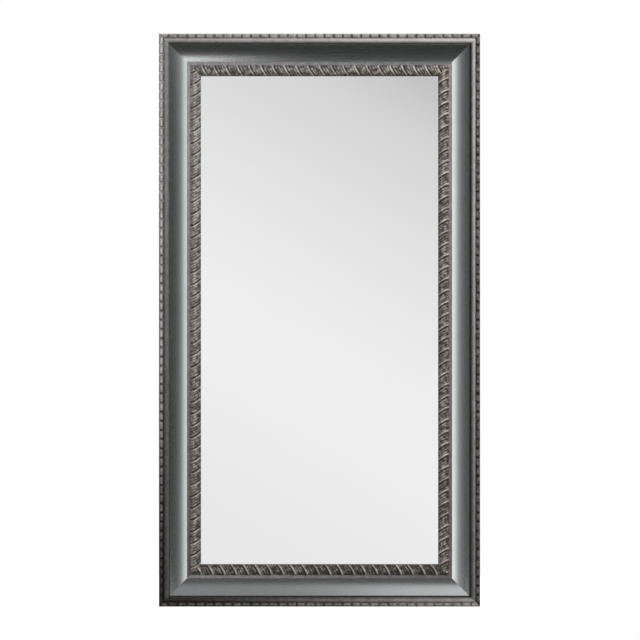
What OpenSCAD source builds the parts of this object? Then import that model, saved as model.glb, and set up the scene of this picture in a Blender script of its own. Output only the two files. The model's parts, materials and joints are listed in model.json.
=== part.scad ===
// Wall mirror in a mitred wooden frame. The moulding has, from its outer edge
// inwards, a beaded edging strip, a plain astragal, a deep scoop, a flat fillet
// and a twisted rope strip at the sight edge.
// The frame is drawn lying on its back: X across, Y up the frame, Z from the
// back plane to the face. stand() then sets it upright with its face to -Y.
// In a member, u runs from the outer edge inwards and v from the back forwards.

/* [Mirror pane] */
// Width of the silvered pane
pane_w = 500; // [440:10:800]
// Height of the silvered pane
pane_h = 1000; // [800:10:1600]
// Thickness of the silvered pane
pane_t = 4; // [3:0.5:6]
// Free space between the pane's edge and the rebate wall
pane_gap = 2; // [1:0.5:4]
// How far the frame's lip laps over the pane
lip_cover = 13.5; // [8:0.5:16]

/* [Backing] */
// Thickness of the foam sheet between pane and backing board
foam_t = 2; // [1:0.5:4]
// Thickness of the fibreboard backing
board_t = 4; // [3:0.5:6]
// Free space around the foam sheet and the backing board
board_gap = 1; // [0.5:0.5:2]

/* [Moulding widths] */
// Width of the beaded edging strip
bead_w = 9.4; // [8:0.2:11]
// Width of the round astragal beside it
astragal_w = 10.6; // [9:0.2:14]
// Narrow flat left on each side of the astragal's round
astragal_margin = 0.2; // [0.1:0.1:0.6]
// Width of the flat quirk between the astragal and the scoop
quirk_w = 2; // [1:0.5:4]
// Width of the scoop
scoop_w = 34; // [28:1:50]
// Width of the flat fillet between the scoop and the rope
fillet_w = 6; // [3:0.5:10]
// Width of the rope strip, which ends at the sight edge
rope_w = 20.5; // [18:0.5:26]

/* [Moulding heights] */
// Thickness of the lip under the rope strip
lip_t = 7; // [5:0.5:10]
// Depth that the rope strip's channel is sunk below the fillet
channel_d = 2; // [1:0.5:3]
// Height of the fillet over the low end of the scoop
fillet_rise = 2; // [1:0.5:3]
// Rise of the scoop from its low end to its arris
scoop_rise = 15.6; // [12:0.2:22]
// Small step from the quirk down to the scoop's arris
scoop_arris = 0.4; // [0.2:0.1:0.8]
// Slope of the scoop's low end, in degrees
scoop_end_slope = 10; // [2:1:14]
// Rise of the astragal's crown over the quirk
astragal_rise = 6; // [5:0.5:8]
// Depth of the bead strip's seat below the quirk
bead_seat_d = 4; // [2:0.5:6]

/* [Rope strip] */
// Distance from one raised fillet of the twist to the next
rope_pitch = 23.4; // [18:0.2:30]
// Height of the rope strip's crown over its seat
rope_h = 9; // [7:0.5:12]
// Height of the rope strip's straight edge
rope_edge_h = 3; // [2:0.5:4]
// Width of the raised fillet of the twist
twist_fillet_w = 4; // [2:0.2:5]
// Width of each reed between two fillets
twist_reed_w = 5.4; // [3:0.2:5.8]
// How far a strand leans along the strip from its outer to its inner edge
twist_lean = 11.5; // [4:0.5:14]
// Depth of the grooves between the strands
twist_groove_d = 2.6; // [1:0.2:3]
// Depth of the reeds below the raised fillets
reed_drop = 1; // [0.4:0.2:1.6]

/* [Bead strip] */
// Distance from one bead to the next
bead_pitch = 18.2; // [14:0.2:24]
// Gap between two beads
bead_space = 2.2; // [1:0.2:4]
// Height of the beads over the strip's seat
bead_h = 6.4; // [5:0.2:8]
// Radius of the beads' rounded ends
bead_end_r = 2.4; // [1:0.2:3]
// Margin of the flat strip on each side of the beads
bead_margin = 0.3; // [0.2:0.1:1]
// Thickness of the flat strip under the beads
bead_base_t = 2; // [1:0.2:3]

/* [Turn buttons] */
// Thickness of a turn button
button_t = 1.6; // [1:0.2:3]
// Width of a turn button
button_w = 12; // [10:1:16]
// Distance from the screw to the centre of the button's long end
button_reach = 15; // [12:1:18]
// Distance from the screw to the rebate wall
button_setback = 8; // [6.5:0.5:10]
// Running clearance above and below a turn button
button_play = 0.3; // [0.2:0.1:0.5]
// Distance from the frame's corners to the nearest turn button
button_inset = 190; // [185:5:200]

/* [Screws] */
// Diameter of a screw's shank
screw_d = 4; // [3:0.5:4.5]
// Diameter of a screw's head
screw_head_d = 8; // [6:0.5:9]
// Height of a screw's pan head
screw_head_h = 2.2; // [1.5:0.1:3]
// Length of screw in the wood
screw_bite = 12; // [8:1:14]

/* [Hangers] */
// Diameter of the D-ring's wire
ring_wire_d = 4; // [3:0.5:4.5]
// Length of the D-ring's straight legs
ring_leg = 4; // [0.5:0.5:5]
// Bend radius of the D-ring's corners
ring_bend = 3.5; // [2.5:0.5:4.5]
// Gap between the folded D-ring and its strap
ring_play = 0.3; // [0.2:0.1:0.6]
// Width of the strap
strap_w = 16; // [14:1:20]
// Length of the strap's flat part
strap_l = 44; // [42:1:50]
// Thickness of the strap, folded double
strap_t = 2; // [1.6:0.2:2.4]
// Thickness of the sheet rolled round the D-ring
strap_sheet_t = 1.2; // [0.8:0.1:1.4]
// Running clearance round the wire in its eye
eye_play = 0.08; // [0.05:0.01:0.1]
// Distance from the frame's top edge to the eyes of the upright pair
hanger_drop = 260; // [240:5:300]
// Distance from the frame's left edge to the eyes of the sideways pair
hanger_inset = 110; // [95:5:115]

/* [Bumpers and corner joints] */
// Height of the rubber wall bumpers
bumper_h = 8; // [7:0.5:12]
// Diameter of the rubber wall bumpers
bumper_d = 20; // [12:1:24]
// Distance from the frame's edges to a bumper's centre
bumper_inset = 34; // [25:1:38]
// Height of the V-nails across the mitres
v_nail_h = 10; // [6:1:12]
// Length of each leg of a V-nail
v_nail_leg = 7; // [5:0.5:9]
// Thickness of a V-nail's steel
v_nail_t = 0.8; // [0.5:0.1:1.2]
// Length of a rubber edge block
block_l = 60; // [30:5:90]

/* [Hidden] */
$fn = 64;
eps = 0.01;
far = 200;

// The rebate holds the pane, the foam sheet and the board
rebate_d = pane_t + foam_t + board_t;
rebate_w = lip_cover + pane_gap;

// Widths measured inwards from the outer edge
u_quirk = bead_w + astragal_w;
u_scoop = u_quirk + quirk_w;
u_fillet = u_scoop + scoop_w;
u_rope = u_fillet + fillet_w;
moulding_w = u_rope + rope_w;
u_rebate = moulding_w - rebate_w;

// Heights measured forwards from the back plane
v_rope = rebate_d + lip_t;
v_fillet = v_rope + channel_d;
v_scoop_low = v_fillet - fillet_rise;
v_quirk = v_scoop_low + scoop_rise + scoop_arris;
v_bead = v_quirk - bead_seat_d;
v_crown = v_quirk + astragal_rise;
astragal_r = astragal_w / 2 - astragal_margin;

// The scoop is one arc from its arris below the quirk to the foot of the fillet
scoop_r = (pow(scoop_w, 2) + pow(scoop_rise, 2))
    / (2 * (scoop_rise * cos(scoop_end_slope) - scoop_w * sin(scoop_end_slope)));
scoop_centre = [
    u_fillet + scoop_r * sin(scoop_end_slope),
    v_scoop_low + scoop_r * cos(scoop_end_slope)
];

// Outer size of the frame
frame_w = pane_w + 2 * (moulding_w - lip_cover);
frame_h = pane_h + 2 * (moulding_w - lip_cover);

// Centres the depth from the bumpers' faces to the crown on the origin
y_shift = (v_crown - bumper_h) / 2;

// Rope strip: one arc over two straight edges
rope_arc_h = rope_h - rope_edge_h;
rope_r = (pow(rope_w / 2, 2) + pow(rope_arc_h, 2)) / (2 * rope_arc_h);
reed_gap = (rope_pitch - twist_fillet_w - 2 * twist_reed_w) / 3;
// Where the first raised fillet of the twist starts on each strip
left_twist = 8.6;
right_twist = 19.7;
top_twist = 13.6;
bottom_twist = 11.9;

// Bead strip: each bead is a barrel lying along the strip
bead_l = bead_pitch - bead_space;
bead_r = bead_w / 2 - bead_margin;
bead_axis_v = v_bead + bead_h - bead_r;

// D-ring and the eye that holds its bar
wire_r = ring_wire_d / 2;
eye_bore_r = wire_r + eye_play;
eye_r = eye_bore_r + strap_sheet_t;
ring_bar = strap_w / 2 + ring_play;
ring_half_w = ring_bar + ring_bend;
ring_reach = ring_bend + ring_leg + ring_half_w;
ring_rest_tilt = asin((strap_t + wire_r + ring_play - eye_r) / ring_reach);

// Screws and their pilot holes
screw_r = screw_d / 2;
screw_fit = 0.05;
recess_l = 0.6 * screw_head_d;
recess_w = 1.2;
recess_d = 1;
button_hole_r = screw_r + 0.1;
button_u = u_rebate - button_setback;
strap_u = u_rebate / 2;
strap_holes = [strap_l - 6, strap_l - 16];

// V-nails, the slots for them and the taper of the bumpers
v_nail_fit = 0.05;
v_nail_spots = [18, 46];
v_nail_angle = 35;
bumper_taper = 2;

// Eye places along the four members, each measured from its member's left end
left_eye = hanger_drop;
right_eye = frame_h - hanger_drop;
top_eye = frame_w - hanger_inset;
bottom_eye = hanger_inset;

// Stands the frame up: centred in X and Y, on Z = 0, with its face to -Y
module stand() {
    translate([-frame_w / 2, y_shift, 0])
        rotate([90, 0, 0])
            children();
}

// The four places of a member, which is drawn along the frame's bottom edge
module on_bottom() {
    stand() children();
}

module on_top() {
    stand() translate([frame_w, frame_h, 0]) rotate([0, 0, 180]) children();
}

module on_left() {
    stand() translate([0, frame_h, 0]) rotate([0, 0, -90]) children();
}

module on_right() {
    stand() translate([frame_w, 0, 0]) rotate([0, 0, 90]) children();
}

// A profile drawn in u and v, run along X
module run_along(length) {
    rotate([90, 0, 90]) linear_extrude(length) children();
}

// What is left of a piece of this length after both of its ends are mitred
module mitred(length) {
    intersection() {
        children();
        translate([0, 0, -far / 2])
            linear_extrude(far)
                polygon([
                    [0, 0], [length, 0],
                    [length - moulding_w, moulding_w], [moulding_w, moulding_w]
                ]);
    }
}

// Cross-section of the wooden moulding without its astragal
module moulding_profile() {
    difference() {
        polygon([
            [0, 0], [0, v_bead], [bead_w, v_bead], [bead_w, v_quirk], [u_fillet, v_quirk],
            [u_fillet, v_fillet], [u_rope, v_fillet], [u_rope, v_rope], [moulding_w, v_rope],
            [moulding_w, rebate_d], [u_rebate, rebate_d], [u_rebate, 0]
        ]);
        intersection() {
            translate(scoop_centre) circle(scoop_r, $fn = 180);
            translate([u_scoop, v_scoop_low - 1]) square([scoop_w, scoop_rise + 2]);
        }
    }
}

// The astragal is a rod sunk into the moulding beside the bead strip
module astragal(length) {
    translate([0, bead_w + astragal_w / 2, v_crown - astragal_r])
        rotate([0, 90, 0])
            cylinder(r = astragal_r, h = length);
}

// Plan of one V-nail, its point on the mitre and a leg on each side of it
module v_nail_plan(fit) {
    outer = -fit / sin(v_nail_angle);
    inner = (v_nail_t + fit) / sin(v_nail_angle);
    along = (v_nail_leg + fit) * cos(v_nail_angle);
    across = (v_nail_leg + fit) * sin(v_nail_angle);
    polygon([
        [outer, 0], [outer + along, across], [inner + along, across],
        [inner, 0], [inner + along, -across], [outer + along, -across]
    ]);
}

// The V-nails of one corner, along its mitre, or with a fit the slots for them
module corner_v_nails(fit = 0) {
    for (spot = v_nail_spots)
        translate([spot, spot, -fit])
            rotate([0, 0, 45])
                linear_extrude(v_nail_h + 2 * fit) v_nail_plan(fit);
}

// Screw places on a member, each as [along, in] from its left end and outer edge
function button_places(length, count) = [
    for (i = [0 : count - 1])
        [button_inset + i * (length - 2 * button_inset) / (count - 1), button_u]
];
function strap_places(eye, direction) = [
    for (hole = strap_holes) [eye - direction * hole, strap_u]
];
stile_buttons = button_places(frame_h, 3);
rail_buttons = button_places(frame_w, 2);

// Wooden member with its mitres, V-nail slots and pilot holes
module member(length, screws) {
    difference() {
        mitred(length)
            union() {
                run_along(length) moulding_profile();
                astragal(length);
            }
        corner_v_nails(v_nail_fit);
        translate([length, 0, 0]) mirror([1, 0, 0]) corner_v_nails(v_nail_fit);
        for (place = screws)
            translate([place[0], place[1], -1])
                cylinder(r = screw_r + screw_fit, h = screw_bite + 1.5);
    }
}

module left_stile() {
    color("#8f9794")
        on_left() member(frame_h, concat(stile_buttons, strap_places(left_eye, -1)));
}

module right_stile() {
    color("#8f9794")
        on_right() member(frame_h, concat(stile_buttons, strap_places(right_eye, 1)));
}

module top_rail() {
    color("#8f9794")
        on_top() member(frame_w, concat(rail_buttons, strap_places(top_eye, 1)));
}

module bottom_rail() {
    color("#8f9794")
        on_bottom() member(frame_w, concat(rail_buttons, strap_places(bottom_eye, -1)));
}

// Cross-section of the rope strip, cut down by this much below its crown
module rope_profile(drop) {
    intersection() {
        translate([u_rope, v_rope]) square([rope_w, rope_h]);
        translate([u_rope + rope_w / 2, v_rope + rope_h - rope_r])
            circle(rope_r - drop, $fn = 96);
    }
}

// A strand starts nearly square to the strip's outer edge and leans more and more
outer_lean = 0.35;
strand_steps = [0, 0.25, 0.5, 0.75, 1];
function strand_point(t, offset_x) = [
    offset_x - twist_lean * (outer_lean * t + (1 - outer_lean) * t * t),
    u_rope + rope_w * t
];

// Plan of one strand of this width
module strand_plan(width) {
    polygon(concat(
        [for (t = strand_steps) strand_point(t, 0)],
        [for (t = strand_steps) strand_point(1 - t, width)]
    ));
}

// Strands of this width, one in every pitch of the twist
module strands(length, start, width, drop) {
    count = ceil((length + twist_lean) / rope_pitch) + 1;
    intersection() {
        run_along(length) rope_profile(drop);
        translate([0, 0, v_rope])
            linear_extrude(rope_h)
                for (k = [0 : count - 1])
                    translate([start + (k - 1) * rope_pitch, 0]) strand_plan(width);
    }
}

// Rope strip: a raised fillet and two lower reeds in every pitch
module rope(length, start) {
    reed_1 = start + twist_fillet_w + reed_gap;
    reed_2 = reed_1 + twist_reed_w + reed_gap;
    mitred(length)
        union() {
            run_along(length) {
                rope_profile(twist_groove_d);
                translate([u_rope, v_rope]) square([rope_w, rope_edge_h / 2]);
            }
            strands(length, start, twist_fillet_w, 0);
            strands(length, reed_1, twist_reed_w, reed_drop);
            strands(length, reed_2, twist_reed_w, reed_drop);
        }
}

module left_rope() {
    color("#77726b") on_left() rope(frame_h, left_twist);
}

module right_rope() {
    color("#77726b") on_right() rope(frame_h, right_twist);
}

module top_rope() {
    color("#77726b") on_top() rope(frame_w, top_twist);
}

module bottom_rope() {
    color("#77726b") on_bottom() rope(frame_w, bottom_twist);
}

// Half of the long section of one bead, each end rounded in three straight steps
module bead_half() {
    end_angles = [0, 30, 60, 90];
    end_points = [
        for (a = end_angles) [
            bead_r - bead_end_r * (1 - cos(a)),
            bead_l / 2 - bead_end_r * (1 - sin(a))
        ]
    ];
    last = len(end_points) - 1;
    polygon(concat(
        [[0, -bead_l / 2]],
        [for (i = [0 : last]) [end_points[last - i][0], -end_points[last - i][1]]],
        end_points,
        [[0, bead_l / 2]]
    ));
}

// Edging strip: beads centred along the member, cut flat inside the strip below them
module beading(length) {
    count = floor(length / bead_pitch) + 2;
    mitred(length)
        union() {
            translate([0, 0, v_bead]) cube([length, bead_w, bead_base_t]);
            intersection() {
                for (k = [0 : count - 1])
                    translate([length / 2 + (k - (count - 1) / 2) * bead_pitch, bead_w / 2, bead_axis_v])
                        rotate([0, 90, 0]) rotate_extrude() bead_half();
                translate([-bead_pitch, 0, v_bead + bead_base_t / 2])
                    cube([length + 2 * bead_pitch, bead_w, bead_h]);
            }
        }
}

module left_beading() {
    color("#8a8984") on_left() beading(frame_h);
}

module right_beading() {
    color("#8a8984") on_right() beading(frame_h);
}

module top_beading() {
    color("#8a8984") on_top() beading(frame_w);
}

module bottom_beading() {
    color("#8a8984") on_bottom() beading(frame_w);
}

// A sheet in the rebate, from this height and with this much free space all round
module rebate_sheet(gap, v, thickness) {
    stand()
        translate([u_rebate + gap, u_rebate + gap, v])
            cube([frame_w - 2 * (u_rebate + gap), frame_h - 2 * (u_rebate + gap), thickness]);
}

module mirror_pane() {
    color("#dfe2e1") rebate_sheet(pane_gap, board_t + foam_t, pane_t);
}

module foam_sheet() {
    color("#f1f1ee") rebate_sheet(board_gap, board_t, foam_t);
}

module backing_board() {
    color("#8a6a4a") rebate_sheet(board_gap, 0, board_t);
}

// Two rubber blocks on a member, which fill the gap between its rebate and the pane
module member_blocks(places) {
    for (place = [places[0], places[len(places) - 1]])
        translate([place[0] - block_l / 2, u_rebate, board_t + foam_t])
            cube([block_l, pane_gap, pane_t]);
}

module edge_blocks() {
    color("#2b2b2b") {
        on_left() member_blocks(stile_buttons);
        on_right() member_blocks(stile_buttons);
        on_top() member_blocks(rail_buttons);
        on_bottom() member_blocks(rail_buttons);
    }
}

// Turn button in its closed place, with its long end over the backing board
module turn_button(place) {
    translate([place[0], place[1], -button_play - button_t])
        difference() {
            union() {
                cylinder(d = button_w, h = button_t);
                translate([-button_w / 2, 0, 0]) cube([button_w, button_reach, button_t]);
                translate([0, button_reach, 0]) cylinder(d = button_w, h = button_t);
            }
            translate([0, 0, -1]) cylinder(r = button_hole_r, h = button_t + 2);
        }
}

module left_button(i) {
    color("#c7c8c6") on_left() turn_button(stile_buttons[i]);
}

module right_button(i) {
    color("#c7c8c6") on_right() turn_button(stile_buttons[i]);
}

module top_button(i) {
    color("#c7c8c6") on_top() turn_button(rail_buttons[i]);
}

module bottom_button(i) {
    color("#c7c8c6") on_bottom() turn_button(rail_buttons[i]);
}

// Pan-head screw with a cross recess, whose head starts this far behind the back plane
module screw(place, stand_off) {
    translate([place[0], place[1], -stand_off])
        difference() {
            union() {
                cylinder(r = screw_r, h = stand_off + screw_bite);
                translate([0, 0, -screw_head_h]) cylinder(d = screw_head_d, h = screw_head_h);
            }
            for (turn = [0, 90])
                rotate([0, 0, turn])
                    translate([-recess_l / 2, -recess_w / 2, -screw_head_h - eps])
                        cube([recess_l, recess_w, recess_d]);
        }
}

module button_screws() {
    stand_off = 2 * button_play + button_t;
    color("#b9a46a") {
        for (place = stile_buttons) {
            on_left() screw(place, stand_off);
            on_right() screw(place, stand_off);
        }
        for (place = rail_buttons) {
            on_top() screw(place, stand_off);
            on_bottom() screw(place, stand_off);
        }
    }
}

// Places a hanger's eye on a member, with its strap pointing against the direction
module hanger_place(eye, direction) {
    translate([eye, strap_u, 0])
        rotate([0, 0, direction > 0 ? 0 : 180])
            children();
}

// Strap with its sheet rolled into an eye at the origin
module strap() {
    difference() {
        union() {
            translate([-strap_l, -strap_w / 2, -strap_t]) cube([strap_l, strap_w, strap_t]);
            translate([0, strap_w / 2, -eye_r])
                rotate([90, 0, 0])
                    cylinder(r = eye_r, h = strap_w);
        }
        translate([0, strap_w / 2 + 1, -eye_r])
            rotate([90, 0, 0])
                cylinder(r = eye_bore_r, h = strap_w + 2);
        for (hole = strap_holes)
            translate([-hole, 0, -strap_t - 1])
                cylinder(r = screw_r + screw_fit, h = strap_t + 2);
    }
}

// Wire bent round from +X to +Y, or on as far as this angle
module wire_bend(radius, angle) {
    translate([0, radius, 0])
        rotate([0, 0, -90])
            rotate_extrude(angle = angle)
                translate([radius, 0]) circle(wire_r, $fn = 32);
}

// D-ring in its own plane: its bar on the Y axis and its bow towards +X
module d_ring_flat() {
    translate([0, ring_bar, 0]) rotate([90, 0, 0]) cylinder(r = wire_r, h = 2 * ring_bar);
    for (side = [0, 1])
        mirror([0, side, 0]) {
            translate([0, ring_bar, 0]) rotate([0, 0, 90]) mirror([0, 1, 0]) wire_bend(ring_bend, 90);
            translate([ring_bend, ring_half_w, 0])
                rotate([0, 90, 0])
                    cylinder(r = wire_r, h = ring_leg);
        }
    translate([ring_bend + ring_leg, -ring_half_w, 0]) wire_bend(ring_half_w, 180);
}

// D-ring folded back over its strap, as it hangs
module d_ring() {
    translate([0, 0, -eye_r])
        rotate([0, 180 - ring_rest_tilt, 0])
            d_ring_flat();
}

module upper_left_strap() {
    color("#c9cac8") on_left() hanger_place(left_eye, -1) strap();
}

module upper_right_strap() {
    color("#c9cac8") on_right() hanger_place(right_eye, 1) strap();
}

module side_top_strap() {
    color("#c9cac8") on_top() hanger_place(top_eye, 1) strap();
}

module side_bottom_strap() {
    color("#c9cac8") on_bottom() hanger_place(bottom_eye, -1) strap();
}

module upper_left_ring() {
    color("#d6d7d5") on_left() hanger_place(left_eye, -1) d_ring();
}

module upper_right_ring() {
    color("#d6d7d5") on_right() hanger_place(right_eye, 1) d_ring();
}

module side_top_ring() {
    color("#d6d7d5") on_top() hanger_place(top_eye, 1) d_ring();
}

module side_bottom_ring() {
    color("#d6d7d5") on_bottom() hanger_place(bottom_eye, -1) d_ring();
}

module hanger_screws() {
    color("#b9a46a") {
        for (place = strap_places(left_eye, -1)) on_left() screw(place, strap_t);
        for (place = strap_places(right_eye, 1)) on_right() screw(place, strap_t);
        for (place = strap_places(top_eye, 1)) on_top() screw(place, strap_t);
        for (place = strap_places(bottom_eye, -1)) on_bottom() screw(place, strap_t);
    }
}

// Rubber bumpers, slightly tapered towards the wall
module wall_bumpers() {
    color("#3a3a3a")
        stand()
            for (x = [bumper_inset, frame_w - bumper_inset], y = [bumper_inset, frame_h - bumper_inset])
                translate([x, y, -bumper_h])
                    cylinder(d1 = bumper_d - 2 * bumper_taper, d2 = bumper_d, h = bumper_h);
}

module v_nails() {
    color("#9a9c9e")
        stand()
            for (x = [0, 1], y = [0, 1])
                translate([x * frame_w, y * frame_h, 0])
                    mirror([x, 0, 0]) mirror([0, y, 0]) corner_v_nails();
}

left_stile();
right_stile();
top_rail();
bottom_rail();
left_rope();
right_rope();
top_rope();
bottom_rope();
left_beading();
right_beading();
top_beading();
bottom_beading();
mirror_pane();
edge_blocks();
foam_sheet();
backing_board();
left_button(0);  // left_button_1
left_button(1);  // left_button_2
left_button(2);  // left_button_3
right_button(0);  // right_button_1
right_button(1);  // right_button_2
right_button(2);  // right_button_3
top_button(0);  // top_button_1
top_button(1);  // top_button_2
bottom_button(0);  // bottom_button_1
bottom_button(1);  // bottom_button_2
button_screws();
upper_left_strap();
upper_right_strap();
side_top_strap();
side_bottom_strap();
upper_left_ring();
upper_right_ring();
side_top_ring();
side_bottom_ring();
hanger_screws();
wall_bumpers();
v_nails();
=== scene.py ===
"""Looks of an upright wall mirror in a mitred, scooped wooden frame, with a carved
rope at the sight edge and beads at the outer edge.

Everything is in metres, in the frame's own axes: X across, Z up, the face towards -Y.
A strip is modelled along the bottom edge, with X along it, Z inwards from the outer
edge and -Y forwards, and then turned to its own side of the frame.
"""

import json
import math

import bmesh
import bpy
from mathutils import Matrix, Vector

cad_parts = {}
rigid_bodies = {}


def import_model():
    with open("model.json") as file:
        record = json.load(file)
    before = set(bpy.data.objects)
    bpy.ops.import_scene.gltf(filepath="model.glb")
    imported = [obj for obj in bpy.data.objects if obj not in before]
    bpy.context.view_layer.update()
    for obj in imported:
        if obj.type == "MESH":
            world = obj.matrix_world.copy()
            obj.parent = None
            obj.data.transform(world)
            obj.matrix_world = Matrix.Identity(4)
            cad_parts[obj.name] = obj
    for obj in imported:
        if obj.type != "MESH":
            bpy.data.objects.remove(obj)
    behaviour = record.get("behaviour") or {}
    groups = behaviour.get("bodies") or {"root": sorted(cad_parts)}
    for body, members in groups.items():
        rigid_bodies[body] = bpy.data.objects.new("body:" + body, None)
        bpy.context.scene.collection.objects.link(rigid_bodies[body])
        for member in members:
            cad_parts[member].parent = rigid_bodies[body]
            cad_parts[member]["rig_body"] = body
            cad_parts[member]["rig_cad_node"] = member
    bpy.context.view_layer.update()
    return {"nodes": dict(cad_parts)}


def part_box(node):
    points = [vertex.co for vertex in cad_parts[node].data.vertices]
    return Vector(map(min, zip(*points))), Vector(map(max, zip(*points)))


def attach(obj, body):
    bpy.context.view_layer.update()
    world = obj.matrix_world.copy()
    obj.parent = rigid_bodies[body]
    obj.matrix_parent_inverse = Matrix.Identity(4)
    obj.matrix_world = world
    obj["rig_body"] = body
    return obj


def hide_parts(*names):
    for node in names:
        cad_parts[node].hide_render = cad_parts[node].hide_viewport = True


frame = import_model()
scene = bpy.context.scene

MM = 0.001
# Places closer together than this are the same
TOUCH = 0.001 * MM
# Edges of the carvings that bend less than this are shaded smooth
SMOOTH_UP_TO = math.radians(50)

# Places taken from the frame
rope_low, rope_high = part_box("bottom_rope")
beading_low, beading_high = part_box("bottom_beading")
rail_low, rail_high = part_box("bottom_rail")
FRAME_W = rail_high.x - rail_low.x
FRAME_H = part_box("top_rail")[1].z
CROWN_Y = rail_low.y
SIGHT_EDGE = rope_high.z
# Past this depth inwards the walls of the rope's channel and of the pane's rebate are bare
BARE_FROM = 60 * MM

# Each side's turn about Y, the place of its outer edge's middle, and its length
SIDES = {
    "bottom": (0, (0, 0, 0), FRAME_W),
    "top": (180, (0, 0, FRAME_H), FRAME_W),
    "left": (90, (-FRAME_W / 2, 0, FRAME_H / 2), FRAME_H),
    "right": (-90, (FRAME_W / 2, 0, FRAME_H / 2), FRAME_H),
}
MEMBERS = {"bottom": "bottom_rail", "top": "top_rail", "left": "left_stile", "right": "right_stile"}


# Modelling helpers


def only(piece):
    """Makes one object the selected and the active one."""
    bpy.ops.object.select_all(action="DESELECT")
    piece.select_set(True)
    bpy.context.view_layer.objects.active = piece


def start(name, primitive, **settings):
    """Adds a primitive and puts its place and size into its mesh."""
    bpy.ops.object.select_all(action="DESELECT")
    primitive(**settings)
    piece = bpy.context.object
    piece.name = piece.data.name = name
    bpy.ops.object.transform_apply(location=True, rotation=True, scale=True)
    return piece


def edit(piece):
    """Opens one object in edit mode."""
    only(piece)
    bpy.ops.object.mode_set(mode="EDIT")


def close():
    """Leaves edit mode."""
    bpy.ops.object.mode_set(mode="OBJECT")


def pick_points(test):
    """In edit mode, selects the vertices whose place passes the test."""
    bpy.ops.mesh.select_mode(type="VERT")
    bpy.ops.mesh.select_all(action="DESELECT")
    shape = bmesh.from_edit_mesh(bpy.context.object.data)
    for vert in shape.verts:
        vert.select_set(test(vert.co))
    bmesh.update_edit_mesh(bpy.context.object.data)


def pick_edges(test):
    """In edit mode, selects the edges whose middle and direction pass the test."""
    bpy.ops.mesh.select_mode(type="EDGE")
    bpy.ops.mesh.select_all(action="DESELECT")
    shape = bmesh.from_edit_mesh(bpy.context.object.data)
    for edge in shape.edges:
        first, second = edge.verts
        edge.select_set(test((first.co + second.co) / 2, (second.co - first.co).normalized()))
    bmesh.update_edit_mesh(bpy.context.object.data)


def cut(place, keep_towards):
    """In edit mode, cuts the whole mesh at a plane, keeps one side and closes the cut."""
    bpy.ops.mesh.select_mode(type="VERT")
    bpy.ops.mesh.select_all(action="SELECT")
    bpy.ops.mesh.bisect(
        plane_co=place, plane_no=keep_towards, use_fill=True, clear_inner=True, threshold=TOUCH
    )


def mitre(length):
    """In edit mode, cuts both ends of a strip along the bottom edge at 45 degrees."""
    slant = math.sqrt(0.5)
    cut((-length / 2, 0, 0), (slant, 0, -slant))
    cut((length / 2, 0, 0), (-slant, 0, -slant))


def repeat(piece, count, step):
    """Repeats a unit along X and joins the copies where they touch."""
    only(piece)
    array = piece.modifiers.new("repeat", "ARRAY")
    array.count = count
    array.use_relative_offset = False
    array.use_constant_offset = True
    array.constant_offset_displace = (step, 0, 0)
    array.use_merge_vertices = True
    array.merge_threshold = 0.01 * MM
    bpy.ops.object.modifier_apply(modifier=array.name)


def place_on(piece, side):
    """Turns a strip from the bottom edge to its side, and puts the turn into its mesh."""
    turn, place, _ = SIDES[side]
    piece.matrix_world = Matrix.Translation(place) @ Matrix.Rotation(math.radians(turn), 4, "Y")
    only(piece)
    bpy.ops.object.transform_apply(location=True, rotation=True, scale=True)


def stand_for(piece, node, finish):
    """Lets a piece stand for a CAD node: on its body, with this material."""
    piece.data.materials.clear()
    piece.data.materials.append(finish)
    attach(piece, frame["nodes"][node]["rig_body"])
    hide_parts(node)


# Materials


def linear(code):
    """An sRGB hex colour as linear red, green, blue and alpha."""
    parts = [int(code[i : i + 2], 16) / 255 for i in (1, 3, 5)]
    return [c / 12.92 if c <= 0.04045 else ((c + 0.055) / 1.055) ** 2.4 for c in parts] + [1]


def new_material(name):
    """A material with an empty node tree."""
    made = bpy.data.materials.new(name)
    made.use_nodes = True
    made.node_tree.nodes.clear()
    return made, made.node_tree


def add(tree, kind, inputs, **settings):
    """Adds a node with its settings, and sets or links its inputs. A node given as an input
    is linked by its first output."""
    made = tree.nodes.new(kind)
    for name, value in settings.items():
        setattr(made, name, value)
    for socket, value in inputs.items():
        if isinstance(value, bpy.types.Node):
            value = value.outputs[0]
        if isinstance(value, bpy.types.NodeSocket):
            tree.links.new(value, made.inputs[socket])
        else:
            made.inputs[socket].default_value = value
    return made


# Sockets of a Mix node: its share, the two values or the two colours it mixes, and the colour made
SHARE = 0
FIRST_VALUE, SECOND_VALUE = 2, 3
FIRST_COLOUR, SECOND_COLOUR = 6, 7
MIXED_COLOUR = 2
# Most of a pattern's values lie between these
PATTERN_LOW, PATTERN_HIGH = 0.3, 0.7


def marks(tree, size, detail, stretch=(1, 1, 1)):
    """Irregular marks of about this size in a surface, stretched along some axes."""
    coordinates = add(tree, "ShaderNodeTexCoord", {}).outputs["Object"]
    scale = [1 / s for s in stretch]
    mapping = add(tree, "ShaderNodeMapping", {"Vector": coordinates, "Scale": scale})
    return add(tree, "ShaderNodeTexNoise", {"Vector": mapping, "Scale": 1 / size, "Detail": detail})


def mottled(tree, pattern, first, second, low=0.35, high=0.65):
    """A colour that goes from the first to the second as the pattern goes from low to high."""
    share = add(
        tree,
        "ShaderNodeMapRange",
        {"Value": pattern, "From Min": low, "From Max": high},
        interpolation_type="SMOOTHSTEP",
    )
    mixed = add(
        tree,
        "ShaderNodeMix",
        {SHARE: share, FIRST_COLOUR: linear(first), SECOND_COLOUR: linear(second)},
        data_type="RGBA",
    )
    return mixed.outputs[MIXED_COLOUR]


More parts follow.
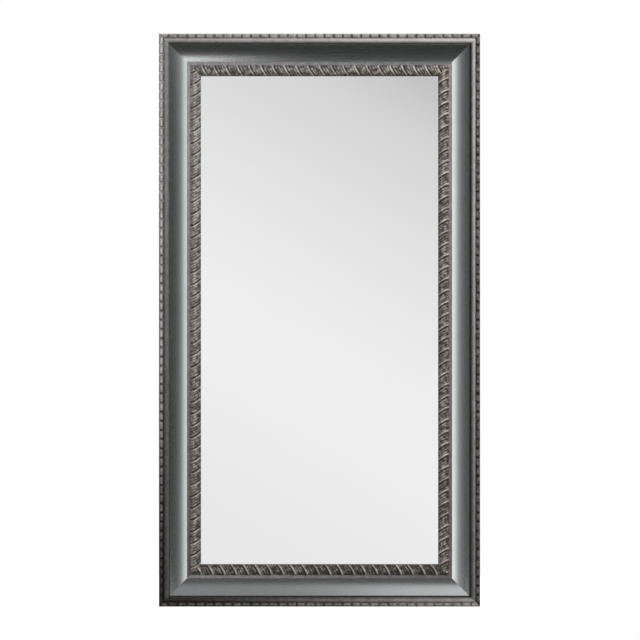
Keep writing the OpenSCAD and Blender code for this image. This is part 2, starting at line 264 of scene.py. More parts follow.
def surface(tree, bump=None, bump_height=0.0, **sockets):
    """Ends a tree in a Principled shader. Sockets are given by name with _ for a space."""
    shader = add(tree, "ShaderNodeBsdfPrincipled", {k.replace("_", " "): v for k, v in sockets.items()})
    if bump is not None:
        bumped = add(tree, "ShaderNodeBump", {"Height": bump, "Distance": bump_height, "Strength": 1.0})
        tree.links.new(bumped.outputs[0], shader.inputs["Normal"])
    add(tree, "ShaderNodeOutputMaterial", {"Surface": shader})


def satin_silver(name, along, tone, cloud):
    """White-gold leaf under satin lacquer on gesso: a soft metal with faint draw marks.

    The marks are drawn wider than real ones, so that they show.
    """
    made, tree = new_material(name)
    streaks = marks(tree, 2.5 * MM, detail=2.0, stretch=along)
    clouds = marks(tree, 90 * MM, detail=2.0)
    roughness = add(
        tree,
        "ShaderNodeMapRange",
        {
            "Value": streaks,
            "From Min": PATTERN_LOW,
            "From Max": PATTERN_HIGH,
            "To Min": 0.265,
            "To Max": 0.275,
        },
        interpolation_type="SMOOTHSTEP",
    )
    surface(
        tree,
        bump=streaks,
        bump_height=0.0006 * MM,
        Base_Color=mottled(tree, clouds, tone, cloud),
        Metallic=1.0,
        Roughness=roughness,
    )
    return made


# The leaf is bare where a place holds less wax than the first, and hidden past the second
BARE_LEAF, FULL_WAX = 0.12, 0.85


def antique_silver(name, rubbed, dull, wax_colour, painted_shade_by_height, unevenness):
    """Rubbed silver leaf with dark wax left in the hollows: bright where high, dull where deep.

    A painted shade, set at the foot and at the head of the frame, comes on top of the wax that
    each place holds. The leaf's grain and rubs make that uneven.
    """
    made, tree = new_material(name)
    place = add(tree, "ShaderNodeTexCoord", {}).outputs["Object"]
    height = add(tree, "ShaderNodeSeparateXYZ", {0: place}).outputs["Z"]
    # Painted shade: darker towards the foot of the frame, lighter towards its head
    at_foot, at_head = painted_shade_by_height
    height_shade = add(
        tree,
        "ShaderNodeMapRange",
        {"Value": height, "From Min": 0, "From Max": FRAME_H, "To Min": at_foot, "To Max": at_head},
    )
    grain = marks(tree, 1.8 * MM, detail=4.0)
    rubs = marks(tree, 7 * MM, detail=2.0)
    patches = marks(tree, 14 * MM, detail=3.0)
    # The wax that each place holds: real wax in the hollows, and wax that paints light and shade
    held = add(tree, "ShaderNodeAttribute", {}, attribute_name="wax").outputs["Fac"]
    for pattern in (grain, rubs):
        swing = add(
            tree,
            "ShaderNodeMapRange",
            {
                "Value": pattern,
                "From Min": PATTERN_LOW,
                "From Max": PATTERN_HIGH,
                "To Min": -unevenness,
                "To Max": unevenness,
            },
            interpolation_type="SMOOTHSTEP",
        )
        held = add(tree, "ShaderNodeMath", {0: held, 1: swing}, operation="ADD")
    held = add(tree, "ShaderNodeMath", {0: held, 1: height_shade}, operation="ADD")
    wax = add(
        tree,
        "ShaderNodeMapRange",
        {"Value": held, "From Min": BARE_LEAF, "From Max": FULL_WAX},
        interpolation_type="SMOOTHSTEP",
    )
    leaf = mottled(tree, patches, rubbed, dull, low=0.4, high=0.62)
    waxed = add(
        tree,
        "ShaderNodeMix",
        {SHARE: wax, FIRST_COLOUR: leaf, SECOND_COLOUR: linear(wax_colour)},
        data_type="RGBA",
    )
    metallic = add(
        tree,
        "ShaderNodeMapRange",
        {"Value": wax, "To Min": 0.6, "To Max": 0.15},
        interpolation_type="SMOOTHSTEP",
    )
    roughness = add(
        tree,
        "ShaderNodeMapRange",
        {"Value": wax, "To Min": 0.36, "To Max": 0.6},
        interpolation_type="SMOOTHSTEP",
    )
    surface(
        tree,
        bump=grain,
        bump_height=unevenness * MM,
        Base_Color=waxed.outputs[MIXED_COLOUR],
        Metallic=metallic,
        Roughness=roughness,
    )
    return made


def bare_timber(name, along):
    """Planed poplar, unfinished: pale and matt, with grain along the member.

    The pores are drawn coarser than real ones, so that they show.
    """
    made, tree = new_material(name)
    grain = marks(tree, 1.5 * MM, detail=4.0, stretch=along)
    bands = marks(tree, 9 * MM, detail=3.0, stretch=along)
    pale = mottled(tree, bands, "#d3b88c", "#bd9c6c")
    pores = add(
        tree,
        "ShaderNodeMapRange",
        {"Value": grain, "From Min": 0.4, "From Max": 0.75, "To Max": 0.6},
        interpolation_type="SMOOTHSTEP",
    )
    grained = add(
        tree,
        "ShaderNodeMix",
        {SHARE: pores, FIRST_COLOUR: pale, SECOND_COLOUR: linear("#9c7a4e")},
        data_type="RGBA",
    )
    surface(
        tree,
        bump=grain,
        bump_height=0.04 * MM,
        Base_Color=grained.outputs[MIXED_COLOUR],
        Roughness=0.72,
    )
    return made


def silvered_glass(name):
    """Float glass with a silver coat behind: a clean mirror with a faint green cast."""
    made, tree = new_material(name)
    haze = marks(tree, 60 * MM, detail=2.0)
    tint = add(
        tree,
        "ShaderNodeMix",
        {SHARE: haze, FIRST_COLOUR: linear("#f5f6f5"), SECOND_COLOUR: linear("#f7f7f7")},
        data_type="RGBA",
    )
    surface(tree, Base_Color=tint.outputs[MIXED_COLOUR], Metallic=1.0, Roughness=0.02)
    return made


def plain_matt(name, first, second, size, roughness, height):
    """A matt stuff with a fine mottle."""
    made, tree = new_material(name)
    mottle = marks(tree, size, detail=4.0)
    surface(
        tree,
        bump=mottle,
        bump_height=height,
        Base_Color=mottled(tree, mottle, first, second),
        Roughness=roughness,
    )
    return made


def steel(name, colour, spots, roughness):
    """Stamped or drawn steel, plated or plain: a clear metal with faint clouds in it."""
    made, tree = new_material(name)
    clouds = marks(tree, 3 * MM, detail=3.0)
    surface(
        tree,
        bump=clouds,
        bump_height=0.02 * MM,
        Base_Color=mottled(tree, clouds, colour, spots, high=0.7),
        Metallic=1.0,
        Roughness=roughness,
    )
    return made


# Wax on the ornaments and the plain moulding: the share of it that each place holds, from
# rubbed leaf to full wax, is kept as an attribute of the meshes. Wax in the hollows is real;
# the shares set for each side are painted light and shade.

# Painted light and shade on the carvings of each side, as wax on top of what their hollows
# hold: more wax is painted shade, less is painted highlight. The shares are spaced evenly along
# the side, from its foot to its head or from its left to its right.
ROPE_PAINTED_SHADE = {"left": (0.02, -0.03), "right": (0.06, 0.19), "top": (0.17, 0.22), "bottom": (0.2, 0.29)}
BEAD_PAINTED_SHADE = {
    "left": (0.16, -0.3, -0.3),
    "right": (-0.01, 0.17, 0.36),
    "top": (0.17, 0.1, 0.28),
    "bottom": (0.0, -0.15, -0.32),
}
# Painted light and shade that the rope carries, as wax on top of that, at its outer and at its inner
# flank
ROPE_FLANKS_PAINTED_SHADE = {
    "left": (-0.22, 0.19),
    "right": (0.08, -0.12),
    "top": (0.0, -0.1),
    "bottom": (-0.14, -0.03),
}
# Painted light and shade on the plain parts, as wax at the two ends of each side: on the
# astragal's outer flank, painted bright as a highlight at the top and right, on its inner flank,
# and on the flat fillet and the outer faces
FLANK_PAINTED_SHADE = {"left": (0.69, 0.29), "right": (0.52, 0.2), "top": (0.37, 0.02), "bottom": (0.8, -0.02)}
INNER_FLANK_PAINTED_SHADE = {
    "left": (0.6, 0.67),
    "right": (0.67, 0.84),
    "top": (0.71, 0.63),
    "bottom": (0.71, 0.73),
}
FILLET_PAINTED_SHADE = {"left": (0.59, 0.42), "right": (0.57, 0.54), "top": (0.5, 0.63), "bottom": (0.41, 0.55)}
QUIRK_WAX = 0.7
# Wax on a bead's round, more of it towards its ends and its foot, and on the strip under the beads
BEAD_ROUND_WAX = 0.42
BEAD_END_WAX = 0.25
BEAD_FOOT_WAX = 0.05
BEAD_BASE_WAX = 0.45


def painted_shade_at(place, side, shares):
    """A side's share of wax, which paints light and shade, at a place along it, between the two stops
    next to the place.
    """
    stops = shares[side]
    along = place.z / FRAME_H if side in ("left", "right") else place.x / FRAME_W + 0.5
    reached = along * (len(stops) - 1)
    i = min(max(int(reached), 0), len(stops) - 2)
    return stops[i] + (stops[i + 1] - stops[i]) * (reached - i)


def set_wax_and_shade(piece, wax_of):
    """Gives each vertex of a piece the wax that belongs to its place: real wax in the hollows, or wax
    that paints light and shade.
    """
    made = piece.data.attributes.new("wax", "FLOAT", "POINT")
    for vert in piece.data.vertices:
        made.data[vert.index].value = wax_of(vert.co)


def add_painted_shade(piece, more_of):
    """Adds wax that paints light and shade to what each vertex of a piece holds, by its place."""
    held = piece.data.attributes["wax"].data
    for vert in piece.data.vertices:
        held[vert.index].value += more_of(vert.co)


# The carved rope at the sight edge

ROPE_W = rope_high.z - rope_low.z
ROPE_SEAT_Y = rope_high.y
ROPE_PITCH = 23.4 * MM
# Heights over the seat, of the round's crown and of its edges
ROPE_CROWN = rope_high.y - rope_low.y
ROPE_EDGE = 3 * MM
# The carving leans this far over the rope's width, and at its outer edge less steeply, by this share
ROPE_LEAN = 11.5 * MM
OUTER_LEAN = 0.35
# One pitch is a raised ridge, some lower reeds side by side, and a groove under the next ridge
RIDGE_W = 4.6 * MM
GROOVE_W = 2.4 * MM
REEDS = 3
# Depths below the ridges: the groove's, that of the reeds' tops and that between the reeds
CARVED_DEPTH = 2.6 * MM
REED_DROP = 1.5 * MM
REED_DEPTH = 2.1 * MM
# How flat the tops and the groove's floor are: the power of the distance from their middle
RIDGE_FLATNESS = 5
REED_FLATNESS = 2.4
GROOVE_FLATNESS = 2
# Wax gathers in the depth, by this power of it
WAX_BY_DEPTH = 1.5
# The grid of one pitch
ROPE_COLUMNS = 48
ROPE_ROWS = 12
# Where the first ridge starts, from the left end of each strip as it lies along the bottom
ROPE_STARTS = {"left": 8.6 * MM, "right": 19.7 * MM, "top": 13.6 * MM, "bottom": 11.9 * MM}


def rope_depth(along):
    """How deep the carving lies below the rope's round at this place in one pitch."""
    if along <= RIDGE_W:
        return REED_DEPTH * abs(2 * along / RIDGE_W - 1) ** RIDGE_FLATNESS
    reeds_w = ROPE_PITCH - GROOVE_W - RIDGE_W
    if along <= RIDGE_W + reeds_w:
        across = 2 * ((along - RIDGE_W) / reeds_w * REEDS % 1) - 1
        return REED_DROP + (REED_DEPTH - REED_DROP) * abs(across) ** REED_FLATNESS
    across = 2 * (ROPE_PITCH - along) / GROOVE_W - 1
    return CARVED_DEPTH - (CARVED_DEPTH - REED_DEPTH) * abs(across) ** GROOVE_FLATNESS


def rope_round(share):
    """Height of the rope's round over its seat, at this share of its width."""
    rise = ROPE_CROWN - ROPE_EDGE
    radius = ((ROPE_W / 2) ** 2 + rise**2) / (2 * rise)
    return ROPE_CROWN - radius + math.sqrt(radius**2 - (ROPE_W * (share - 0.5)) ** 2)


def rope_unit():
    """One pitch of the rope: a grid whose columns sink to the carving and whose rows lean and crown."""
    unit = start(
        "rope_unit",
        bpy.ops.mesh.primitive_grid_add,
        x_subdivisions=ROPE_COLUMNS,
        y_subdivisions=ROPE_ROWS,
        size=1,
        rotation=(math.radians(90), 0, 0),
    )
    edit(unit)
    bpy.ops.transform.resize(value=(ROPE_PITCH, 1, ROPE_W))
    bpy.ops.transform.translate(value=(ROPE_PITCH / 2, ROPE_SEAT_Y, rope_low.z + ROPE_W / 2))
    for column in range(ROPE_COLUMNS + 1):
        along = ROPE_PITCH * column / ROPE_COLUMNS
        pick_points(lambda place: abs(place.x - along) < TOUCH)
        bpy.ops.transform.translate(value=(0, rope_depth(along), 0))
    close()
    set_wax_and_shade(unit, lambda place: max(0.0, (place.y - ROPE_SEAT_Y) / CARVED_DEPTH) ** WAX_BY_DEPTH)
    edit(unit)
    for row in range(ROPE_ROWS + 1):
        share = row / ROPE_ROWS
        lean = -ROPE_LEAN * (OUTER_LEAN * share + (1 - OUTER_LEAN) * share**2)
        pick_points(lambda place: abs(place.z - rope_low.z - ROPE_W * share) < TOUCH)
        bpy.ops.transform.translate(value=(lean, -rope_round(share), 0))
    close()
    return unit


def rope_strip(side, unit, finish):
    """A strip of rope: repeated units with walls down to the seat, mitred at both ends."""
    length = SIDES[side][2]
    strip = unit.copy()
    strip.data = unit.data.copy()
    strip.name = strip.data.name = side + "_rope_carving"
    scene.collection.objects.link(strip)
    repeat(strip, math.ceil((length + ROPE_LEAN) / ROPE_PITCH) + 2, ROPE_PITCH)
    edit(strip)
    bpy.ops.mesh.select_all(action="SELECT")
    bpy.ops.transform.translate(value=(ROPE_STARTS[side] - ROPE_PITCH - length / 2, 0, 0))
    bpy.ops.mesh.select_all(action="DESELECT")
    bpy.ops.mesh.select_mode(type="EDGE")
    bpy.ops.mesh.select_non_manifold(use_wire=False, use_boundary=True)
    bpy.ops.mesh.extrude_region_move(TRANSFORM_OT_translate={"value": (0, 2 * ROPE_CROWN, 0)})
    cut((0, ROPE_SEAT_Y, 0), (0, -1, 0))
    mitre(length)
    close()
    # Painted light and shade across the rope, from its outer to its inner flank
    outer, inner = ROPE_FLANKS_PAINTED_SHADE[side]
    add_painted_shade(strip, lambda place: outer + (inner - outer) * (place.z - rope_low.z) / ROPE_W)
    place_on(strip, side)
    bpy.ops.object.shade_smooth_by_angle(angle=SMOOTH_UP_TO)
    # Painted light and shade along the side
    add_painted_shade(strip, lambda place: painted_shade_at(place, side, ROPE_PAINTED_SHADE))
    stand_for(strip, side + "_rope", finish)


# The beads at the outer edge

BEAD_W = beading_high.z - beading_low.z
BEAD_SEAT_Y = beading_high.y
BEAD_HEIGHT = beading_high.y - beading_low.y
BEAD_STRIP_T = 2 * MM
BEAD_PITCH = 18.2 * MM
BEAD_L = 16 * MM
BEAD_MARGIN = 0.3 * MM
BEAD_R = BEAD_W / 2 - BEAD_MARGIN
BEAD_END_R = 2.4 * MM


def bead_wax(place):
    """Wax on a bead: its round's, and more towards its ends and its foot."""
    to_end = max(0.0, abs(place.x) - BEAD_L / 2 + BEAD_END_R) / BEAD_END_R
    to_foot = (place.y - beading_low.y) / BEAD_HEIGHT
    return BEAD_ROUND_WAX + BEAD_END_WAX * to_end**2 + BEAD_FOOT_WAX * to_foot**2


def bead_unit():
    """One barrel bead, cut flat inside the strip that carries it."""
    unit = start(
        "bead_unit",
        bpy.ops.mesh.primitive_cylinder_add,
        vertices=16,
        radius=BEAD_R,
        depth=BEAD_L,
        location=(0, beading_low.y + BEAD_R, BEAD_W / 2),
        rotation=(0, math.radians(90), 0),
    )
    edit(unit)
    pick_edges(lambda middle, line: abs(abs(middle.x) - BEAD_L / 2) < TOUCH)
    bpy.ops.mesh.bevel(offset=BEAD_END_R, segments=3, profile=0.5, affect="EDGES")
    cut((0, BEAD_SEAT_Y - BEAD_STRIP_T / 2, 0), (0, -1, 0))
    close()
    set_wax_and_shade(unit, bead_wax)
    return unit


def bead_strip(side, unit, finish):
    """A row of beads on its flat strip, mitred at both ends."""
    length = SIDES[side][2]
    count = math.floor(length / BEAD_PITCH) + 2
    row = unit.copy()
    row.data = unit.data.copy()
    row.name = row.data.name = side + "_bead_row"
    scene.collection.objects.link(row)
    repeat(row, count, BEAD_PITCH)
    edit(row)
    bpy.ops.mesh.select_all(action="SELECT")
    bpy.ops.transform.translate(value=(-(count - 1) / 2 * BEAD_PITCH, 0, 0))
    mitre(length)
    close()
    base = start(
        side + "_bead_base",
        bpy.ops.mesh.primitive_cube_add,
        size=1,
        location=(0, BEAD_SEAT_Y - BEAD_STRIP_T / 2, BEAD_W / 2),
        scale=(length, BEAD_STRIP_T, BEAD_W),
    )
    edit(base)
    pick_edges(lambda middle, line: abs(line.x) > 0.9 and middle.y < BEAD_SEAT_Y - BEAD_STRIP_T / 2)
    bpy.ops.mesh.bevel(offset=BEAD_MARGIN, segments=2, affect="EDGES")
    mitre(length)
    close()
    set_wax_and_shade(base, lambda place: BEAD_BASE_WAX)
    only(row)
    base.select_set(True)
    bpy.ops.object.join()
    place_on(row, side)
    bpy.ops.object.shade_smooth_by_angle(angle=SMOOTH_UP_TO)
    # Painted light and shade along the side
    add_painted_shade(row, lambda place: painted_shade_at(place, side, BEAD_PAINTED_SHADE))
    stand_for(row, side + "_beading", finish)


# Copies of CAD nodes with soft edges and a smooth shade


def refined(node, ending, finish, round_off=0.0, segments=2, angle=35):
    """A merged copy of a CAD node, with its sharp edges rounded off by this much."""
    source = frame["nodes"][node]
    piece = source.copy()
    piece.data = source.data.copy()
    piece.name = piece.data.name = node + ending
    piece.parent = None
    del piece["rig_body"]
    del piece["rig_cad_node"]
    scene.collection.objects.link(piece)
    edit(piece)
    bpy.ops.mesh.select_all(action="SELECT")
    bpy.ops.mesh.remove_doubles(threshold=TOUCH)
    bpy.ops.mesh.customdata_custom_splitnormals_clear()
    bpy.ops.mesh.dissolve_limited(angle_limit=math.radians(0.5))
    close()
    if round_off:
        bevel = piece.modifiers.new("soft edges", "BEVEL")
        bevel.width = round_off
        bevel.segments = segments
        bevel.limit_method = "ANGLE"
        bevel.angle_limit = math.radians(angle)
        only(piece)
        bpy.ops.object.modifier_apply(modifier=bevel.name)
    only(piece)
    bpy.ops.object.shade_smooth_by_angle(angle=math.radians(angle))
    stand_for(piece, node, finish)
    return piece


# The mouldings

# Where the quirk and the scoop start and where the scoop ends, inwards from the outer edge
QUIRK_FROM = 20 * MM
SCOOP_FROM = 22 * MM
SCOOP_TO = 56 * MM
# Material slots of a member
LACQUER, TIMBER, LEAF = 0, 1, 2


def moulding_wax_and_shade(inwards, place, side):
    """Wax on the plain moulding, by its distance from the outer edge and its place along it: in the
    quirk a fixed share, elsewhere wax that paints light and shade.
    """
    if not BEAD_W - TOUCH < inwards < SCOOP_FROM + TOUCH:
        return painted_shade_at(place, side, FILLET_PAINTED_SHADE)
    if inwards > QUIRK_FROM - TOUCH:
        return QUIRK_WAX
    outer = painted_shade_at(place, side, FLANK_PAINTED_SHADE)
    inner = painted_shade_at(place, side, INNER_FLANK_PAINTED_SHADE)
    return outer + (inner - outer) * (inwards - BEAD_W) / (QUIRK_FROM - BEAD_W)


def member(side, finishes):
    """A member of the frame: lacquer in its scoop, bare timber behind, waxed leaf elsewhere."""
    piece = refined(MEMBERS[side], "_moulding", finishes[LACQUER])
    for slot in (TIMBER, LEAF):
        piece.data.materials.append(finishes[slot])

    def from_edge(place):
        """How far a place lies inwards from this side's outer edge."""
        if side in ("left", "right"):
            return FRAME_W / 2 - abs(place.x)
        return place.z if side == "bottom" else FRAME_H - place.z

    for face in piece.data.polygons:
        inwards = from_edge(face.center)
        forwards = face.normal.y < -0.5
        backwards = face.normal.y > 0.5
        bare_wall = BARE_FROM < inwards < SIGHT_EDGE - TOUCH and not forwards
        if backwards or bare_wall:
            face.material_index = TIMBER
        elif forwards and SCOOP_FROM < inwards < SCOOP_TO:
            face.material_index = LACQUER
        else:
            face.material_index = LEAF
    # Wax on the plain moulding, most of it painted light and shade
    set_wax_and_shade(piece, lambda place: moulding_wax_and_shade(from_edge(place), place, side))


# Camera, light and floor

# In millimetres, as Blender has them
CAMERA_LENS = 200
SENSOR = 36
# What one pixel of the photograph covers on the frame, and the photograph's side in pixels
PHOTO_PIXEL = 1.98743 * MM
PHOTO_SIDE = 640
# The photograph was scaled at this depth behind the crown, between the beads and the rope
SCALED_DEPTH = 11 * MM
# How far the frame's middle lies from the photograph's, in its pixels
LEFT_OF_MIDDLE = 0.45
BELOW_MIDDLE = 0.15


def photographer():
    """The camera straight in front, where it shows the frame as large as the photograph does."""
    data = bpy.data.cameras.new("camera")
    data.lens = CAMERA_LENS
    data.sensor_width = SENSOR
    camera = bpy.data.objects.new("camera", data)
    scene.collection.objects.link(camera)
    distance = CAMERA_LENS / SENSOR * PHOTO_SIDE * PHOTO_PIXEL
    camera.location = (
        LEFT_OF_MIDDLE * PHOTO_PIXEL,
        CROWN_Y + SCALED_DEPTH - distance,
        FRAME_H / 2 + BELOW_MIDDLE * PHOTO_PIXEL,
    )
    camera.rotation_euler = (math.radians(90), 0, 0)
    scene.camera = camera


def lamp(name, place, aim, size, power, glossy=False, spread=180):
    """A soft box that points at a place. Metal sees it only where glossy is set."""
    data = bpy.data.lights.new(name, "AREA")
    data.shape = "RECTANGLE"
    data.size, data.size_y = size
    data.energy = power
    data.spread = math.radians(spread)
    box = bpy.data.objects.new(name, data)
    scene.collection.objects.link(box)
    box.location = place
    box.rotation_euler = (Vector(aim) - box.location).to_track_quat("-Z", "Y").to_euler()
    box.visible_glossy = glossy


def level_by(tree, value, stops):
    """The light level for a value that tells a direction: stops are (value, level)."""
    first, last = stops[0][0], stops[-1][0]
    share = add(tree, "ShaderNodeMapRange", {"Value": value, "From Min": first, "From Max": last})
    made = add(tree, "ShaderNodeValToRGB", {0: share})
    elements = made.color_ramp.elements
    while len(elements) > 1:
        elements.remove(elements[0])
    brightest = max(level for _, level in stops)
    for i, (stop, level) in enumerate(stops):
        place = (stop - first) / (last - first)
        element = elements[0] if i == 0 else elements.new(place)
        element.position = place
        element.color = [level / brightest] * 3 + [1]
    return add(tree, "ShaderNodeMath", {0: made, 1: brightest}, operation="MULTIPLY")


# Levels of the studio as metal and the glass see it. From the left to the right, by x: bright
# on both sides of the camera and dark further round
ACROSS = (
    (-1.0, 0.05), (-0.95, 0.06), (-0.83, 0.135), (-0.76, 0.175), (-0.68, 0.24), (-0.6, 0.39),
    (-0.5, 0.95), (-0.43, 1.3), (-0.25, 1.3), (-0.14, 0.9), (0.14, 0.9), (0.25, 1.0),
    (0.44, 1.05), (0.52, 0.65), (0.59, 0.3), (0.68, 0.13), (0.83, 0.078), (0.95, 0.05), (1.0, 0.05),
)
# From below to above, by z: a dark floor, a bright band at the camera's height, dark over that
# and a dim ceiling
UP = (
    (-1.0, 0.027), (-0.6, 0.047), (-0.4, 0.052), (-0.24, 0.06), (-0.15, 0.2), (-0.1, 0.85),
    (0.1, 0.6), (0.16, 0.1), (0.3, 0.013), (0.48, 0.026), (0.56, 0.105), (0.68, 0.235), (1.0, 0.235),
)
# A direction takes the levels by z instead of by x as z / (x + z) grows from one to the other
STEEP = (0.3, 0.48)
# What the glass shows from straight ahead: pale, and dimmer up to the right, where going right
# counts this much as going up. It ends where x or z is this large.
AHEAD = (
    (-0.07, 0.868), (-0.028, 0.93), (-0.003, 0.92), (0.014, 0.876), (0.031, 0.833),
    (0.048, 0.777), (0.068, 0.708), (0.084, 0.587),
)
AHEAD_TILT = 0.565
AHEAD_END = (0.09, 0.13)
# Behind the frame, by x + z: brighter up to the right than down to the left. It begins where
# y is this large.
BEHIND = ((-1.4, 0.05), (-0.87, 0.15), (0.0, 0.4), (0.87, 0.8), (1.4, 1.0))
BEHIND_START = (0.1, 0.45)
# Light on matt surfaces, by x + z: soft and mostly from the upper right
AMBIENT = ((-1.4, 0.03), (0.0, 0.32), (1.4, 0.95))
# Keeps a direction straight ahead or behind from a division by zero
TINY = 0.0001


def studio():
    """White to the camera, a studio with bright and dark walls to metal, soft light to the rest."""
    world = bpy.data.worlds.new("studio")
    scene.world = world
    world.use_nodes = True
    tree = world.node_tree
    tree.nodes.clear()
    direction = add(tree, "ShaderNodeTexCoord", {}).outputs["Generated"]
    x, y, z = add(tree, "ShaderNodeSeparateXYZ", {0: direction}).outputs
    flat_x = add(tree, "ShaderNodeMath", {0: x}, operation="ABSOLUTE")
    flat_z = add(tree, "ShaderNodeMath", {0: z}, operation="ABSOLUTE")

    # Sideways and upwards, in front of the frame
    slant = add(tree, "ShaderNodeMath", {0: flat_x, 1: flat_z}, operation="ADD")
    slant = add(tree, "ShaderNodeMath", {0: slant, 1: TINY}, operation="ADD")
    slant = add(tree, "ShaderNodeMath", {0: flat_z, 1: slant}, operation="DIVIDE")
    steep = add(
        tree,
        "ShaderNodeMapRange",
        {"Value": slant, "From Min": STEEP[0], "From Max": STEEP[1]},
        interpolation_type="SMOOTHSTEP",
    )
    across = level_by(tree, x, ACROSS)
    up = level_by(tree, z, UP)
    around = add(tree, "ShaderNodeMix", {SHARE: steep, FIRST_VALUE: across, SECOND_VALUE: up})

    # Straight ahead
    tilt = add(tree, "ShaderNodeMath", {0: x, 1: AHEAD_TILT}, operation="MULTIPLY")
    tilt = add(tree, "ShaderNodeMath", {0: z, 1: tilt}, operation="ADD")
    aside = add(tree, "ShaderNodeMath", {0: flat_x, 1: flat_z}, operation="MAXIMUM")
    aside = add(
        tree,
        "ShaderNodeMapRange",
        {"Value": aside, "From Min": AHEAD_END[0], "From Max": AHEAD_END[1]},
        interpolation_type="SMOOTHSTEP",
    )
    ahead = level_by(tree, tilt, AHEAD)
    front = add(tree, "ShaderNodeMix", {SHARE: aside, FIRST_VALUE: ahead, SECOND_VALUE: around})

    # Behind the frame
    up_right = add(tree, "ShaderNodeMath", {0: x, 1: z}, operation="ADD")
    back = level_by(tree, up_right, BEHIND)
    backwards = add(
        tree,
        "ShaderNodeMapRange",
        {"Value": y, "From Min": BEHIND_START[0], "From Max": BEHIND_START[1]},
        interpolation_type="SMOOTHSTEP",
    )
    level = add(tree, "ShaderNodeMix", {SHARE: backwards, FIRST_VALUE: front, SECOND_VALUE: back})

    rays = add(tree, "ShaderNodeLightPath", {}).outputs
    ambient = level_by(tree, up_right, AMBIENT)
    lit = add(
        tree, "ShaderNodeMix", {SHARE: rays["Is Glossy Ray"], FIRST_VALUE: ambient, SECOND_VALUE: level}
    )
    seen = add(
        tree,
        "ShaderNodeMath",
        {0: rays["Is Camera Ray"], 1: rays["Is Transmission Ray"]},
        operation="MAXIMUM",
    )
    strength = add(tree, "ShaderNodeMix", {SHARE: seen, FIRST_VALUE: lit, SECOND_VALUE: 1.0})
    light = add(tree, "ShaderNodeBackground", {"Color": linear("#ffffff"), "Strength": strength})
    add(tree, "ShaderNodeOutputWorld", {"Surface": light})
    # Only rays that reach the world see it: it differs by kind of ray, so no light is
    # sampled from it
    world.cycles.sampling_method = "NONE"


# The floor lies under the frame and behind it, where the shadow falls
FLOOR_MIDDLE = (0, 0.36, 0)
FLOOR_SIZE = (1.6, 0.92, 1)
# Its own light, which metal and matt surfaces don't see, lifts its grey to near white
FLOOR_GLOW = 0.8


def floor():
    """A plain pale floor, near white to the camera, that keeps the frame's shadow."""
    made, tree = new_material("pale floor paint")
    rays = add(tree, "ShaderNodeLightPath", {}).outputs
    seen = add(
        tree,
        "ShaderNodeMath",
        {0: rays["Is Camera Ray"], 1: rays["Is Transmission Ray"]},
        operation="MAXIMUM",
    )
    paint = add(tree, "ShaderNodeBsdfDiffuse", {"Color": linear("#a4a4a4")})
    glow = add(tree, "ShaderNodeEmission", {"Color": linear("#ffffff"), "Strength": FLOOR_GLOW})
    glowing = add(tree, "ShaderNodeAddShader", {0: paint, 1: glow})
    chosen = add(tree, "ShaderNodeMixShader", {0: seen, 1: paint, 2: glowing})
    add(tree, "ShaderNodeOutputMaterial", {"Surface": chosen})
    plate = start(
        "floor", bpy.ops.mesh.primitive_plane_add, size=1, location=FLOOR_MIDDLE, scale=FLOOR_SIZE
    )
    plate.data.materials.append(made)


photographer()
studio()
floor()
# Each lamp's place and the place it points at. Metal sees two of them: the wide box overhead and
# the weak card low on the left, which gives the scoop there a soft shine.
middle = (0, 0, FRAME_H / 2)
lamp("key", (1.2, -1.2, 1.75), middle, size=(0.8, 0.8), power=30)
lamp("fill", (-1.8, -2.0, 1.2), middle, size=(1.6, 1.6), power=3)
lamp("back fill", (-0.9, 2.2, 1.9), middle, size=(1.5, 1.5), power=35)
lamp("overhead", (0.72, -0.95, 1.4), (0.72, -0.95, 0), size=(1.2, 1.3), power=1.85, glossy=True)
lamp(
    "low card",
    (-0.45, -1.0, 0.55),
    (-0.25, 0, 1.06),
    size=(0.3, 0.3),
    power=0.018,
    glossy=True,
    spread=26,
)

# The scoop is a cool grey metal, with its marks drawn along the member
SILVER_GREY = ("#e4ecea", "#ebf0f0")
stile_lacquer = satin_silver("satin silver lacquer, drawn upright", (1, 1, 60), *SILVER_GREY)
rail_lacquer = satin_silver("satin silver lacquer, drawn across", (60, 1, 1), *SILVER_GREY)
# The rope is warm silver on its ridges and umber in its grooves, and the most speckled; a painted shade
# darkens it a little towards the foot of the frame
carving = antique_silver(
    "antique silver leaf with umber wax",
    rubbed="#eee8de",
    dull="#c9c0b6",
    wax_colour="#403830",
    painted_shade_by_height=(0.1, -0.03),
    unevenness=0.16,
)
# The beads are duller and more even, and painted darkest at the foot of the frame, as shade
edging = antique_silver(
    "dull silver leaf under brown wax",
    rubbed="#e7e5e3",
    dull="#cfccc8",
    wax_colour="#302d2a",
    painted_shade_by_height=(0.3, -0.1),
    unevenness=0.06,
)
# The astragal, the fillet and the outer faces are plain grey silver, with a faint painted shade towards
# the foot
plain_leaf = antique_silver(
    "plain silver leaf under thin wax",
    rubbed="#edecea",
    dull="#dfddda",
    wax_colour="#302d2a",
    painted_shade_by_height=(0.1, 0.02),
    unevenness=0.02,
)
stile_timber = bare_timber("bare poplar, grain upright", (1, 1, 40))
rail_timber = bare_timber("bare poplar, grain across", (40, 1, 1))

rope = rope_unit()
bead = bead_unit()
for side in SIDES:
    if side in ("top", "bottom"):
        member(side, (rail_lacquer, rail_timber, plain_leaf))
    else:
        member(side, (stile_lacquer, stile_timber, plain_leaf))
    rope_strip(side, rope, carving)
    bead_strip(side, bead, edging)
bpy.data.objects.remove(rope)
bpy.data.objects.remove(bead)

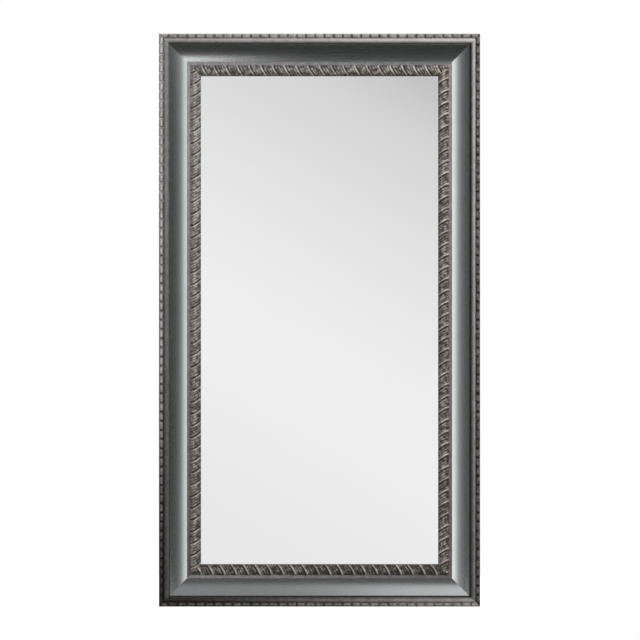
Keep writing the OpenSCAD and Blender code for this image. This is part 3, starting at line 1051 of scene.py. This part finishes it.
# The pane, the blocks round it, and the foam and the board behind it keep their CAD meshes
PLAIN = {
    "mirror_pane": silvered_glass("silvered float glass"),
    "foam_sheet": plain_matt(
        "white polyethylene foam",
        "#eceae4",
        "#dedcd5",
        size=2 * MM,
        roughness=0.85,
        height=0.1 * MM,
    ),
    "backing_board": plain_matt(
        "brown hardboard", "#7d5a3a", "#65462c", size=1.2 * MM, roughness=0.7, height=0.05 * MM
    ),
    "edge_blocks": plain_matt(
        "black EPDM rubber", "#232323", "#2e2e2e", size=1.5 * MM, roughness=0.7, height=0.05 * MM
    ),
}
for node, finish in PLAIN.items():
    data = frame["nodes"][node].data
    data.materials.clear()
    data.materials.append(finish)

# The fittings behind: cool grey zinc, smoother and warmer nickel, yellow zinc, dull grey spring
# steel and dark rubber
zinc = steel("bright zinc plated steel", "#b9bcbf", "#9da1a5", roughness=0.32)
nickel = steel("nickel plated wire", "#cfcac0", "#b8b3aa", roughness=0.2)
yellow_zinc = steel("yellow passivated zinc", "#c2ab6b", "#9f8f66", roughness=0.3)
spring_steel = steel("plain spring steel", "#8a8d90", "#74777a", roughness=0.4)
bumper_rubber = plain_matt(
    "dark grey bumper rubber", "#343434", "#3d3d3c", size=2 * MM, roughness=0.6, height=0.05 * MM
)
# How far their stamped, cropped or moulded edges are rounded
BUTTON_EDGE = 0.3 * MM
STRAP_EDGE = 0.25 * MM
SCREW_EDGE = 0.3 * MM
BUMPER_EDGE = 1.2 * MM

for node in frame["nodes"]:
    if "_button_" in node:
        refined(node, "_plate", zinc, BUTTON_EDGE)
    elif node.endswith("_strap"):
        refined(node, "_plate", zinc, STRAP_EDGE)
    elif node.endswith("_ring"):
        refined(node, "_wire", nickel, angle=50)
refined("button_screws", "_heads", yellow_zinc, SCREW_EDGE)
refined("hanger_screws", "_heads", yellow_zinc, SCREW_EDGE)
refined("wall_bumpers", "_soft", bumper_rubber, BUMPER_EDGE, segments=3)
refined("v_nails", "_steel", spring_steel)

scene.view_settings.view_transform = "Standard"
